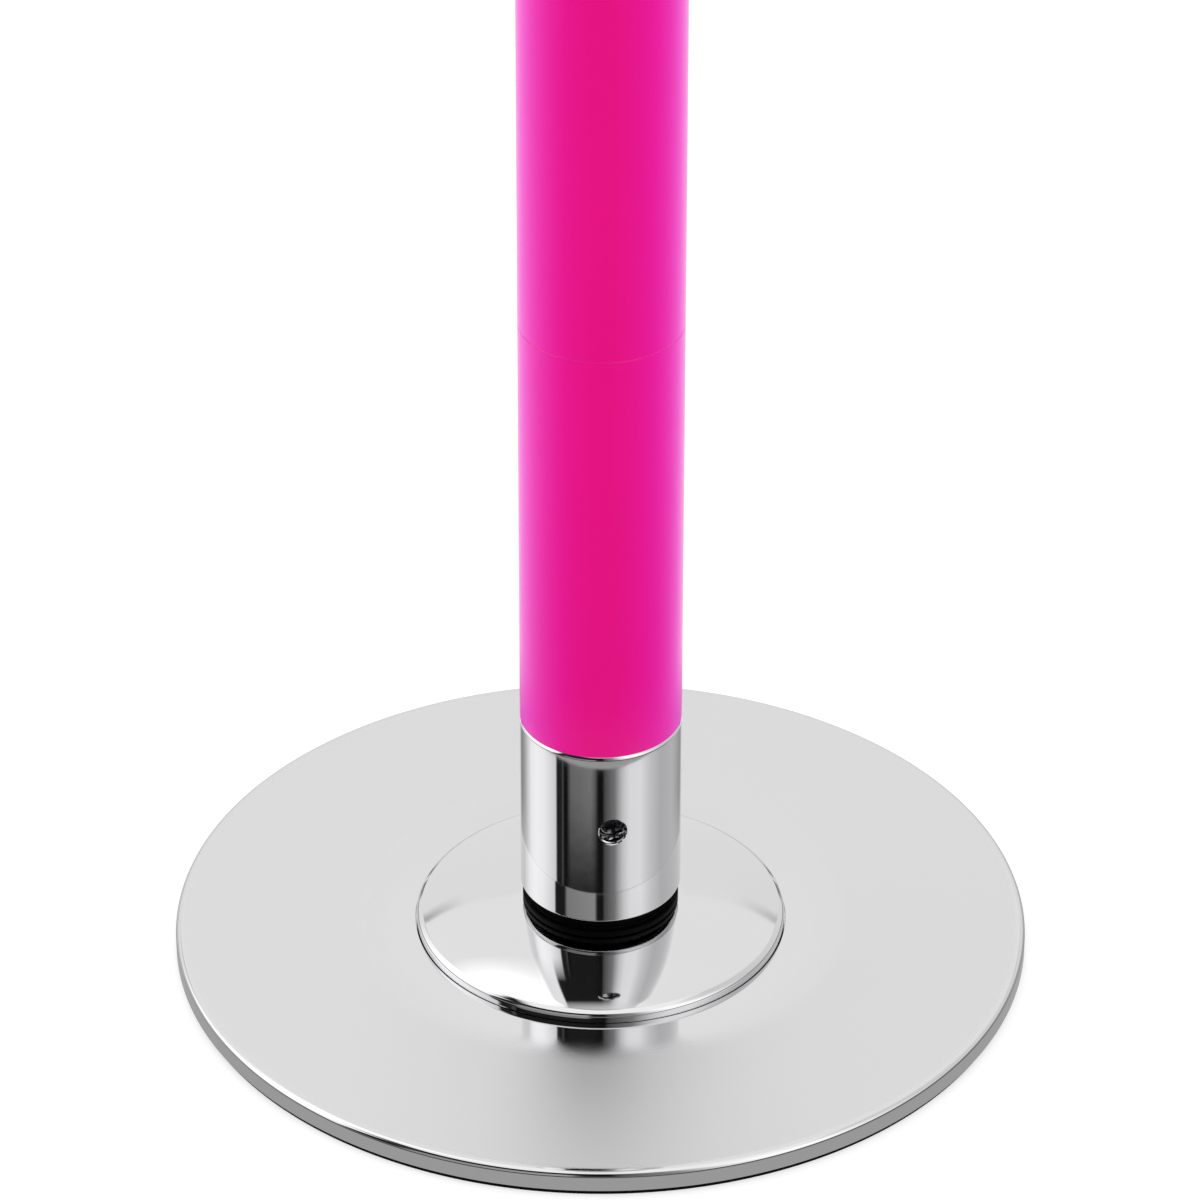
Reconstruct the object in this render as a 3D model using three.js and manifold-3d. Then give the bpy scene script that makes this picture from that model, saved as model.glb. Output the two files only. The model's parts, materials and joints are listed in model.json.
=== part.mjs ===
// Removable spinning dance pole, braced between a floor and a ceiling.
// A chromed steel base carries a fixed spindle, and the silicone-covered pole turns round it on two ball
// bearings. Two grub screws in the chromed collar lock the pole to the spindle.
// At the top a spanner nut drives a jack screw that presses a second plate against the ceiling.
// Millimetres, +Z up. The origin is the centre of the floor pad's underside, and the front looks along -Y.
import * as THREE from "three";
import { mergeVertices } from "three/addons/utils/BufferGeometryUtils.js";
import Module from "manifold-3d";

const wasm = await Module();
wasm.setup();

// Clearances.
const fit_clearance = 0.2; // round piece in its bore
const seat_gap = 0.3; // faces that bear on each other
const running_gap = 0.8; // faces that turn past each other
const ball_clearance = 0.5; // ball in its groove
const cut_overrun = 2; // a cutter past the face it cuts

// Pole sections.
const pole_diameter = 45;
const sleeve_wall = 1.5;
const tube_wall = 2;
const extension_length = 125;
const lower_length = 1030;
const upper_length = 1030;
const spigot_reach = 42;
const spigot_wall = 4.5;
const spigot_chamfer = 1.5;

// Round plates at the floor and the ceiling.
const pad_thickness = 1.5;
const pad_inset = 1;
const plate_diameter = 240;
const plate_thickness = 6;
const plate_edge_radius = 1.6;

// Raised disc that holds the spindle down.
const disc_diameter = 104;
const disc_proud = 2.6;
const disc_crown = 4.6;
const crown_even_share = 0.43; // of the crown's fall to the edge; the rest comes from its growing slope
const disc_edge_chamfer = 1.2;
const disc_screw_circle = 76;
const disc_screw_diameter = 5;
const disc_screw_head = 9.6;
const disc_screw_reach = 5.4;
const disc_screw_land = 0.2; // plate left above the countersink
const disc_screw_socket = 3;
const disc_screw_socket_depth = 1.6;
const disc_screws = 3;

// Ball bearings: the thrust bearing carries the pole, the steady bearing keeps it upright.
const bearing_bore = 20;
const thrust_width = 9;
const steady_width = 7;
const ball_share = 0.585; // ball diameter in the space between bore and outside
const bearing_balls = 7;
const cage_wall = 1.2;
const cage_width = 2;
const groove_half_angle = 50; // degrees of a race's groove on each side of its middle

// Fixed spindle.
const spindle_flange_diameter = 44;
const spindle_flange_thickness = 3;
const spindle_shoulder_diameter = 26;
const spindle_tip = 2.6;
const lock_groove_depth = 2;
const lock_groove_margin = 2; // groove beyond the grub screw on each side
const circlip_thickness = 1.2;
const circlip_width = 2.6;
const circlip_bite = 0.7;

// Black seal below the collar.
const seal_flange_diameter = 43.8;
const seal_flange_thickness = 1.6;
const seal_hub_diameter = 40;
const seal_height = 4.4;
const seal_lip_height = 1.8;

// Collar that houses the base bearings.
const collar_height = 55.4;
const collar_wall = 3.8; // round the thrust bearing
const collar_chamfer = 0.8;
const collar_web_bore = 28;
const collar_neck_height = 26;
const neck_wall = 2.4; // round the steady bearing
const neck_chamfer = 1;

// Grub screws that lock the pole for static use.
const grub_diameter = 8;
const grub_recess = 3.8;
const grub_travel = 0.6;
const grub_height = 30.7;
const grub_angle = THREE.MathUtils.degToRad(-81.3); // seen from the front a little to the right
const grub_screws = 2;
const grub_chamfer = 0.7;
const grub_socket = 4;
const grub_socket_depth = 4;
const grub_hole_chamfer = 0.4;

// Jack at the top: cap, nut, screw and head.
const cap_height = 22;
const cap_neck_height = 40;
const cap_chamfer = 1;
const nut_across_flats = 46;
const nut_height = 22;
const jack_diameter = 24;
const jack_travel = 135;
const jack_chamfer = 2;
const keyway_depth = 2.6;
const guide_screw_diameter = 6;
const guide_screw_sink = 1.2;
const guide_socket = 3;
const guide_socket_depth = 3;
const head_floor = 18;
const head_neck_diameter = 18;
const pin_diameter = 5;
const pin_inset = 1.2;

// Facets round each kind of piece.
const plate_facets = 48;
const disc_facets = 36;
const pole_facets = 32;
const tube_facets = 24;
const spindle_facets = 20;
const race_facets = 18;
const cage_facets = 14;
const ball_facets = 6;
const ball_rings = 4;
const groove_steps = 3;
const edge_steps = 2;
const crown_steps = 3;
const screw_facets = 12;

// Finishes.
const chrome = new THREE.MeshStandardMaterial({ color: 0xd9d9db, metalness: 1, roughness: 0.08 });
const silicone = new THREE.MeshStandardMaterial({ color: 0xe8128c, metalness: 0, roughness: 0.32 });
const bare_steel = new THREE.MeshStandardMaterial({ color: 0x8d9094, metalness: 1, roughness: 0.35 });
const black_oxide = new THREE.MeshStandardMaterial({ color: 0x2a2a2c, metalness: 0.8, roughness: 0.4 });
const bearing_steel = new THREE.MeshStandardMaterial({ color: 0xb9bcc0, metalness: 1, roughness: 0.2 });
const black_rubber = new THREE.MeshStandardMaterial({ color: 0x121212, metalness: 0, roughness: 0.55 });

// Radii and heights that several pieces share.
const pole_radius = pole_diameter / 2;
const tube_radius = pole_radius - sleeve_wall - fit_clearance;
const tube_bore_radius = tube_radius - tube_wall;
const spigot_radius = tube_bore_radius - fit_clearance;
const disc_radius = disc_diameter / 2;
const spindle_radius = bearing_bore / 2 - fit_clearance;
const lock_groove_radius = spindle_radius - lock_groove_depth;
const thrust_seat_radius = pole_radius - collar_wall;
const steady_seat_radius = spigot_radius - neck_wall;
const jack_radius = jack_diameter / 2;
const jack_bore_radius = jack_radius + fit_clearance;
const keyway_floor_radius = jack_radius - keyway_depth;
const screw_head_height = (disc_screw_head - disc_screw_diameter) / 2;

const plate_bottom = pad_thickness;
const plate_top = plate_bottom + plate_thickness;
const pocket_floor = plate_bottom + seat_gap + screw_head_height + disc_screw_land;
const disc_bottom = pocket_floor + seat_gap;
const disc_rim_top = plate_top + disc_proud;
const disc_top = disc_rim_top + disc_crown;
const flange_top = disc_bottom + spindle_flange_thickness;
const seal_bottom = disc_top + seat_gap;
const seal_top = seal_bottom + seal_height;
const seal_lip_top = seal_top + seal_lip_height;
const collar_bottom = seal_top + running_gap;
const collar_top = collar_bottom + collar_height;
const thrust_bottom = seal_lip_top + running_gap;
const thrust_top = thrust_bottom + thrust_width;
const shoulder_top = thrust_bottom - seat_gap;
const steady_top = collar_top - seat_gap;
const steady_bottom = steady_top - steady_width;
const grub_level = collar_bottom + grub_height;

const extension_bottom = collar_top + seat_gap;
const extension_top = extension_bottom + extension_length;
const lower_bottom = extension_top + seat_gap;
const lower_top = lower_bottom + lower_length;
const upper_bottom = lower_top + seat_gap;
const upper_top = upper_bottom + upper_length;
const cap_bottom = upper_top + seat_gap;
const cap_top = cap_bottom + cap_height;
const guide_level = (cap_bottom + cap_top) / 2;
const nut_bottom = cap_top + seat_gap;
const nut_top = nut_bottom + nut_height;
const head_bottom = nut_top + seat_gap;
const head_cup_floor = head_bottom + head_floor;
const pin_level = (head_bottom + head_cup_floor) / 2;
const ceiling_spindle_reach = thrust_top + seat_gap + circlip_thickness + spindle_tip;
const overall_height = head_cup_floor + running_gap + ceiling_spindle_reach;

// A closed mesh as a solid that can be cut and joined.
function solid_of(geometry) {
  const bare = geometry.clone();
  bare.deleteAttribute("normal");
  bare.deleteAttribute("uv");
  const merged = mergeVertices(bare);
  return new wasm.Manifold(
    new wasm.Mesh({
      numProp: 3,
      vertProperties: new Float32Array(merged.attributes.position.array),
      triVerts: new Uint32Array(merged.index.array),
    }),
  );
}

function geometry_of(solid) {
  const mesh = solid.getMesh();
  const geometry = new THREE.BufferGeometry();
  geometry.setAttribute("position", new THREE.BufferAttribute(mesh.vertProperties, 3));
  geometry.setIndex(new THREE.BufferAttribute(mesh.triVerts, 1));
  return geometry;
}

function cut(geometry, cutters) {
  let solid = solid_of(geometry);
  for (const cutter of cutters) solid = solid.subtract(solid_of(cutter));
  return geometry_of(solid);
}

function join(geometries) {
  let solid = solid_of(geometries[0]);
  for (const geometry of geometries.slice(1)) solid = solid.add(solid_of(geometry));
  return geometry_of(solid);
}

// A body of revolution about Z through [radius, height] points that run anticlockwise.
function turned(outline, facets) {
  const points = outline.map(([radius, height]) => new THREE.Vector2(radius, height));
  const on_axis = outline[0][0] === 0 && outline.at(-1)[0] === 0;
  if (!on_axis) points.push(points[0].clone());
  return new THREE.LatheGeometry(points, facets).rotateX(Math.PI / 2);
}

function ring(inner_radius, outer_radius, bottom, top, facets) {
  const outline = [
    [inner_radius, bottom],
    [outer_radius, bottom],
    [outer_radius, top],
    [inner_radius, top],
  ];
  return turned(outline, facets);
}

function rod(radius, bottom, top, facets) {
  const outline = [
    [0, bottom],
    [radius, bottom],
    [radius, top],
    [0, top],
  ];
  return turned(outline, facets);
}

// A bar of six flats along Z, given across its flats.
function hexagon(across_flats, bottom, top) {
  const radius = across_flats / 2 / Math.cos(Math.PI / 6);
  const bar = new THREE.CylinderGeometry(radius, radius, top - bottom, 6);
  return bar.rotateX(Math.PI / 2).translate(0, 0, (bottom + top) / 2);
}

// Points of an arc round a centre, ends included.
function arc(center, radius, from_degrees, to_degrees, steps) {
  const points = [];
  for (let step = 0; step <= steps; step += 1) {
    const angle = THREE.MathUtils.degToRad(from_degrees + ((to_degrees - from_degrees) * step) / steps);
    points.push([center[0] + radius * Math.cos(angle), center[1] + radius * Math.sin(angle)]);
  }
  return points;
}

// Turns a piece that lies along Z so that it points outwards from the axis at an angle and height.
function aimed(geometry, angle, height) {
  return geometry.rotateY(Math.PI / 2).rotateZ(angle).translate(0, 0, height);
}

function named(name, geometry, material) {
  const mesh = new THREE.Mesh(geometry, material);
  mesh.name = name;
  return mesh;
}

// Anti-slip pad under a plate.
function pad() {
  return rod(plate_diameter / 2 - pad_inset, 0, pad_thickness, plate_facets);
}

// Copies of a cutter or a screw in a circle round the axis, one for each screw of the disc.
function round_the_disc(make) {
  const copies = [];
  for (let copy = 0; copy < disc_screws; copy += 1) {
    const angle = Math.PI / 2 + (copy * Math.PI * 2) / disc_screws;
    copies.push(make().translate(disc_screw_circle / 2, 0, 0).rotateZ(angle));
  }
  return copies;
}

// Heavy round plate with a rolled top edge and a pocket for the raised disc.
function plate() {
  const radius = plate_diameter / 2;
  const pocket_radius = disc_radius + fit_clearance;
  const edge_center = [radius - plate_edge_radius, plate_top - plate_edge_radius];
  const outline = [
    [0, plate_bottom],
    [radius, plate_bottom],
    ...arc(edge_center, plate_edge_radius, 0, 90, edge_steps),
    [pocket_radius, plate_top],
    [pocket_radius, pocket_floor],
    [0, pocket_floor],
  ];
  const head_radius = disc_screw_head / 2 + fit_clearance;
  const shank_radius = disc_screw_diameter / 2 + fit_clearance;
  const seat = plate_bottom + seat_gap;
  const hole = [
    [0, plate_bottom - cut_overrun],
    [head_radius, plate_bottom - cut_overrun],
    [head_radius, seat],
    [shank_radius, seat + screw_head_height],
    [shank_radius, pocket_floor + cut_overrun],
    [0, pocket_floor + cut_overrun],
  ];
  return cut(turned(outline, plate_facets), round_the_disc(() => turned(hole, screw_facets)));
}

// Points of the disc's crown from its edge inwards, steep at the edge and nearly level at the seal.
function crown() {
  const edge_radius = disc_radius - disc_edge_chamfer;
  const points = [];
  for (let step = 0; step <= crown_steps; step += 1) {
    const share = 1 - step / crown_steps;
    const fall = crown_even_share * share + (1 - crown_even_share) * share * share;
    points.push([pole_radius + (edge_radius - pole_radius) * share, disc_top - disc_crown * fall]);
  }
  return points;
}

// Raised disc with a flat land for the seal, a crown, and a recess below for the spindle's flange.
function disc() {
  const bore_radius = spindle_shoulder_diameter / 2 + fit_clearance;
  const recess_radius = spindle_flange_diameter / 2 + fit_clearance;
  const recess_top = flange_top + seat_gap;
  const outline = [
    [recess_radius, disc_bottom],
    [disc_radius, disc_bottom],
    [disc_radius, disc_rim_top - disc_edge_chamfer],
    ...crown(),
    [bore_radius, disc_top],
    [bore_radius, recess_top],
    [recess_radius, recess_top],
  ];
  const tap_radius = disc_screw_diameter / 2 + fit_clearance;
  const tap_top = disc_bottom + disc_screw_reach + seat_gap;
  const taps = round_the_disc(() => rod(tap_radius, disc_bottom - cut_overrun, tap_top, screw_facets));
  return cut(turned(outline, disc_facets), taps);
}

// The countersunk screws that hold the disc, driven from under the plate.
function disc_screw() {
  const head_radius = disc_screw_head / 2;
  const shank_radius = disc_screw_diameter / 2;
  const bottom = plate_bottom + seat_gap;
  const top = disc_bottom + disc_screw_reach;
  const outline = [
    [0, bottom],
    [head_radius, bottom],
    [shank_radius, bottom + screw_head_height],
    [shank_radius, top],
    [0, top],
  ];
  const socket = hexagon(disc_screw_socket, bottom - cut_overrun, bottom + disc_screw_socket_depth);
  return cut(turned(outline, screw_facets), [socket]);
}

// Fixed spindle from its flange to the circlip groove, with a lock groove on the way where one is wanted.
function spindle(circlip_level, groove) {
  const clip_radius = spindle_radius - circlip_bite;
  const clip_top = circlip_level + circlip_thickness;
  const outline = [
    [0, disc_bottom],
    [spindle_flange_diameter / 2, disc_bottom],
    [spindle_flange_diameter / 2, flange_top],
    [spindle_shoulder_diameter / 2, flange_top],
    [spindle_shoulder_diameter / 2, shoulder_top],
    [spindle_radius, shoulder_top],
    ...groove,
    [spindle_radius, circlip_level],
    [clip_radius, circlip_level],
    [clip_radius, clip_top],
    [spindle_radius, clip_top],
    [spindle_radius, clip_top + spindle_tip],
    [0, clip_top + spindle_tip],
  ];
  return turned(outline, spindle_facets);
}

// Groove with sloped walls that the grub screws press into.
function lock_groove() {
  const half_width = grub_diameter / 2 + lock_groove_margin;
  return [
    [spindle_radius, grub_level - half_width],
    [lock_groove_radius, grub_level - half_width + lock_groove_depth],
    [lock_groove_radius, grub_level + half_width - lock_groove_depth],
    [spindle_radius, grub_level + half_width],
  ];
}

// Open ring that snaps into the spindle's groove.
function circlip(level) {
  const inner_radius = spindle_radius - circlip_bite + seat_gap;
  const outer_radius = spindle_radius + circlip_width;
  const slack = seat_gap / 4;
  const bottom = level + slack;
  const top = level + circlip_thickness - slack;
  const gap = new THREE.BoxGeometry(outer_radius, circlip_width * 2, circlip_thickness * 2);
  gap.translate(spindle_radius + outer_radius / 2 - circlip_bite, 0, (bottom + top) / 2);
  return cut(ring(inner_radius, outer_radius, bottom, top, spindle_facets), [gap]);
}

// Black seal: a wide flange on the disc, a narrower hub, and a lip that stands inside the collar.
function seal() {
  const bore_radius = spindle_shoulder_diameter / 2 + fit_clearance;
  const flange_radius = seal_flange_diameter / 2;
  const hub_radius = seal_hub_diameter / 2;
  const lip_radius = thrust_seat_radius - running_gap;
  const outline = [
    [bore_radius, seal_bottom],
    [flange_radius, seal_bottom],
    [flange_radius, seal_bottom + seal_flange_thickness],
    [hub_radius, seal_bottom + seal_flange_thickness],
    [hub_radius, seal_top],
    [lip_radius, seal_top],
    [lip_radius, seal_lip_top],
    [bore_radius, seal_lip_top],
  ];
  return turned(outline, pole_facets);
}

// Groove of a race: the arc round the ball circle on one side of it, given by its direction in degrees.
function race_groove(bearing, facing) {
  const center = [bearing.pitch_radius, bearing.middle];
  const radius = bearing.ball_radius + ball_clearance;
  return arc(center, radius, facing + groove_half_angle, facing - groove_half_angle, groove_steps);
}

function outer_race(bearing) {
  const groove = race_groove(bearing, 0);
  const land_radius = groove[0][0];
  const outline = [
    [land_radius, bearing.bottom],
    [bearing.outer_radius, bearing.bottom],
    [bearing.outer_radius, bearing.top],
    [land_radius, bearing.top],
    ...groove,
  ];
  return turned(outline, race_facets);
}

function inner_race(bearing) {
  const groove = race_groove(bearing, 180);
  const land_radius = groove[0][0];
  const outline = [
    [bearing_bore / 2, bearing.bottom],
    [land_radius, bearing.bottom],
    ...groove,
    [land_radius, bearing.top],
    [bearing_bore / 2, bearing.top],
  ];
  return turned(outline, race_facets);
}

// Balls held apart by a thin band that runs through them.
function ball_cage(bearing) {
  const inner_radius = bearing.pitch_radius - cage_wall / 2;
  const outer_radius = bearing.pitch_radius + cage_wall / 2;
  const bottom = bearing.middle - cage_width / 2;
  const pieces = [ring(inner_radius, outer_radius, bottom, bottom + cage_width, cage_facets)];
  for (let ball = 0; ball < bearing_balls; ball += 1) {
    const sphere = new THREE.SphereGeometry(bearing.ball_radius, ball_facets, ball_rings);
    sphere.rotateX(Math.PI / 2).translate(bearing.pitch_radius, 0, bearing.middle);
    pieces.push(sphere.rotateZ((ball * Math.PI * 2) / bearing_balls));
  }
  return join(pieces);
}

// Chromed collar: bearing seats below and above a thick web, and a neck for the first tube.
function collar() {
  const neck_top = collar_top + collar_neck_height;
  const web_radius = collar_web_bore / 2;
  const outline = [
    [thrust_seat_radius, collar_bottom],
    [pole_radius - collar_chamfer, collar_bottom],
    [pole_radius, collar_bottom + collar_chamfer],
    [pole_radius, collar_top - collar_chamfer],
    [pole_radius - collar_chamfer, collar_top],
    [spigot_radius, collar_top],
    [spigot_radius, neck_top - neck_chamfer],
    [spigot_radius - neck_chamfer, neck_top],
    [steady_seat_radius, neck_top],
    [steady_seat_radius, steady_bottom - seat_gap],
    [web_radius, steady_bottom - seat_gap],
    [web_radius, thrust_top + seat_gap],
    [thrust_seat_radius, thrust_top + seat_gap],
  ];
  const hole_radius = grub_diameter / 2 + fit_clearance;
  const hole = [
    [0, web_radius - cut_overrun],
    [hole_radius, web_radius - cut_overrun],
    [hole_radius, pole_radius - grub_hole_chamfer],
    [hole_radius + grub_hole_chamfer + cut_overrun, pole_radius + cut_overrun],
    [0, pole_radius + cut_overrun],
  ];
  const holes = grub_angles().map((angle) => aimed(turned(hole, screw_facets), angle, grub_level));
  return cut(turned(outline, pole_facets), holes);
}

function grub_angles() {
  const angles = [];
  for (let screw = 0; screw < grub_screws; screw += 1) {
    angles.push(grub_angle + (screw * Math.PI * 2) / grub_screws);
  }
  return angles;
}

// Socket grub screw, sunk below the collar's face and just clear of the spindle's groove.
function grub_screw(angle) {
  const radius = grub_diameter / 2;
  const outer = pole_radius - grub_recess;
  const inner = lock_groove_radius + seat_gap + grub_travel;
  const outline = [
    [0, inner],
    [radius - grub_chamfer, inner],
    [radius, inner + grub_chamfer],
    [radius, outer - grub_chamfer],
    [radius - grub_chamfer, outer],
    [0, outer],
  ];
  const socket = hexagon(grub_socket, outer - grub_socket_depth, outer + cut_overrun);
  return aimed(cut(turned(outline, screw_facets), [socket]), angle, grub_level);
}

// Steel tube of one section, open at both ends.
function tube(bottom, top) {
  return ring(tube_bore_radius, tube_radius, bottom, top, tube_facets);
}

// Silicone sleeve over a tube.
function sleeve(bottom, top) {
  return ring(pole_radius - sleeve_wall, pole_radius, bottom, top, pole_facets);
}

// Spigot that joins two tubes end to end.
function spigot(joint_level) {
  const bore_radius = spigot_radius - spigot_wall;
  const bottom = joint_level - spigot_reach;
  const top = joint_level + spigot_reach;
  const outline = [
    [bore_radius, bottom],
    [spigot_radius - spigot_chamfer, bottom],
    [spigot_radius, bottom + spigot_chamfer],
    [spigot_radius, top - spigot_chamfer],
    [spigot_radius - spigot_chamfer, top],
    [bore_radius, top],
  ];
  return turned(outline, tube_facets);
}

// Chromed cap that closes the upper tube and guides the jack screw.
function tube_cap() {
  const neck_bottom = cap_bottom - cap_neck_height;
  const outline = [
    [jack_bore_radius, neck_bottom],
    [spigot_radius - neck_chamfer, neck_bottom],
    [spigot_radius, neck_bottom + neck_chamfer],
    [spigot_radius, cap_bottom],
    [pole_radius, cap_bottom],
    [pole_radius, cap_top - cap_chamfer],
    [pole_radius - cap_chamfer, cap_top],
    [jack_bore_radius, cap_top],
  ];
  const hole_radius = guide_screw_diameter / 2 + fit_clearance;
  const hole = rod(hole_radius, jack_radius - cut_overrun, pole_radius + cut_overrun, screw_facets);
  return cut(turned(outline, pole_facets), [aimed(hole, grub_angle, guide_level)]);
}

// Screw through the cap whose tip slides in the keyway and stops the jack screw from turning.
function guide_screw() {
  const outer = pole_radius - guide_screw_sink;
  const body = rod(guide_screw_diameter / 2, keyway_floor_radius + seat_gap, outer, screw_facets);
  const socket = hexagon(guide_socket, outer - guide_socket_depth, outer + cut_overrun);
  return aimed(cut(body, [socket]), grub_angle, guide_level);
}

// Hexagon nut whose corners are turned down to a cone at both ends.
function adjuster_nut() {
  const flat_radius = nut_across_flats / 2;
  const corner_radius = flat_radius / Math.cos(Math.PI / 6);
  const drop = (corner_radius - flat_radius) * Math.tan(Math.PI / 6);
  const cone = [
    [jack_bore_radius, nut_bottom],
    [flat_radius, nut_bottom],
    [corner_radius, nut_bottom + drop],
    [corner_radius, nut_top - drop],
    [flat_radius, nut_top],
    [jack_bore_radius, nut_top],
  ];
  const blank = solid_of(hexagon(nut_across_flats, nut_bottom - cut_overrun, nut_top + cut_overrun));
  return geometry_of(blank.intersect(solid_of(turned(cone, tube_facets))));
}

// Jack screw: threaded length with a keyway, and a plain neck pinned into the head.
function jack_screw() {
  const bottom = cap_bottom - cap_neck_height - jack_travel;
  const neck_top = head_cup_floor - seat_gap;
  const neck_radius = head_neck_diameter / 2;
  const outline = [
    [0, bottom],
    [jack_radius - jack_chamfer, bottom],
    [jack_radius, bottom + jack_chamfer],
    [jack_radius, nut_top],
    [neck_radius, nut_top],
    [neck_radius, neck_top],
    [0, neck_top],
  ];
  const slot_length = nut_bottom - bottom + cut_overrun;
  const slot_width = guide_screw_diameter + 2 * seat_gap;
  const slot = new THREE.BoxGeometry(keyway_depth + cut_overrun, slot_width, slot_length);
  slot.translate(keyway_floor_radius + (keyway_depth + cut_overrun) / 2, 0, nut_bottom - slot_length / 2);
  return cut(turned(outline, spindle_facets), [slot.rotateZ(grub_angle), pin_hole()]);
}

function pin_hole() {
  const radius = pin_diameter / 2 + fit_clearance;
  return aimed(rod(radius, -pole_diameter, pole_diameter, screw_facets), 0, pin_level);
}

// Cross pin through the head and the jack screw's neck.
function head_pin() {
  const half_length = pole_radius - pin_inset;
  return aimed(rod(pin_diameter / 2, -half_length, half_length, screw_facets), 0, pin_level);
}

// Chromed head: a cup for the ceiling bearing over a thick floor that takes the jack screw.
function head() {
  const top = overall_height - collar_bottom;
  const shoulder = overall_height - thrust_top - seat_gap;
  const neck_radius = head_neck_diameter / 2 + fit_clearance;
  const web_radius = collar_web_bore / 2;
  const outline = [
    [neck_radius, head_bottom],
    [pole_radius - collar_chamfer, head_bottom],
    [pole_radius, head_bottom + collar_chamfer],
    [pole_radius, top - collar_chamfer],
    [pole_radius - collar_chamfer, top],
    [thrust_seat_radius, top],
    [thrust_seat_radius, shoulder],
    [web_radius, shoulder],
    [web_radius, head_cup_floor],
    [neck_radius, head_cup_floor],
  ];
  return cut(turned(outline, pole_facets), [pin_hole()]);
}

// Pad, plate, disc, spindle and seal that stay still against the floor or the ceiling.
function foot(name, circlip_level, groove) {
  const group = new THREE.Group();
  group.add(named(name + "_pad", pad(), black_rubber));
  group.add(named(name + "_plate", plate(), chrome));
  group.add(named(name + "_disc", disc(), chrome));
  round_the_disc(disc_screw).forEach((screw, index) => {
    group.add(named(name + "_disc_screw_" + (index + 1), screw, black_oxide));
  });
  group.add(named(name + "_spindle", spindle(circlip_level, groove), bare_steel));
  group.add(named(name + "_circlip", circlip(circlip_level), black_oxide));
  group.add(named(name + "_seal", seal(), black_rubber));
  return group;
}

// Outer race, inner race and balls of a bearing that fits a seat.
function bearing_pieces(name, seat_radius, bottom, top) {
  const outer_radius = seat_radius - fit_clearance;
  const pitch_radius = (outer_radius + bearing_bore / 2) / 2;
  const ball_radius = ((outer_radius - bearing_bore / 2) * ball_share) / 2;
  const bearing = { outer_radius, pitch_radius, ball_radius, bottom, middle: (bottom + top) / 2, top };
  const group = new THREE.Group();
  group.add(named(name + "_outer_race", outer_race(bearing), bearing_steel));
  group.add(named(name + "_inner_race", inner_race(bearing), bearing_steel));
  group.add(named(name + "_ball_cage", ball_cage(bearing), bearing_steel));
  return group;
}

function pole_section(name, bottom, top) {
  const group = new THREE.Group();
  group.add(named(name + "_tube", tube(bottom, top), bare_steel));
  group.add(named(name + "_sleeve", sleeve(bottom, top), silicone));
  return group;
}

function floor_end() {
  const group = new THREE.Group();
  group.add(foot("base", steady_top + seat_gap, lock_groove()));
  group.add(bearing_pieces("thrust_bearing", thrust_seat_radius, thrust_bottom, thrust_top));
  group.add(bearing_pieces("steady_bearing", steady_seat_radius, steady_bottom, steady_top));
  return group;
}

function turning_pole() {
  const group = new THREE.Group();
  group.add(named("base_collar", collar(), chrome));
  grub_angles().forEach((angle, index) => {
    group.add(named("grub_screw_" + (index + 1), grub_screw(angle), black_oxide));
  });
  group.add(pole_section("extension", extension_bottom, extension_top));
  group.add(named("extension_spigot", spigot((extension_top + lower_bottom) / 2), bare_steel));
  group.add(pole_section("lower", lower_bottom, lower_top));
  group.add(named("middle_spigot", spigot((lower_top + upper_bottom) / 2), bare_steel));
  group.add(pole_section("upper", upper_bottom, upper_top));
  group.add(named("tube_cap", tube_cap(), chrome));
  group.add(named("guide_screw", guide_screw(), black_oxide));
  return group;
}

function jack() {
  const group = new THREE.Group();
  group.add(named("adjuster_nut", adjuster_nut(), chrome));
  group.add(named("jack_screw", jack_screw(), bare_steel));
  group.add(named("jack_head", head(), chrome));
  group.add(named("head_pin", head_pin(), bare_steel));
  return group;
}

// The same foot turned over against the ceiling, on a shorter spindle with one bearing.
function ceiling_end() {
  const group = new THREE.Group();
  group.add(foot("ceiling", thrust_top + seat_gap, []));
  group.add(bearing_pieces("ceiling_bearing", thrust_seat_radius, thrust_bottom, thrust_top));
  group.rotation.x = Math.PI;
  group.position.z = overall_height;
  return group;
}

const dance_pole = new THREE.Group();
dance_pole.add(floor_end());
dance_pole.add(turning_pole());
dance_pole.add(jack());
dance_pole.add(ceiling_end());

export default dance_pole;
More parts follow.
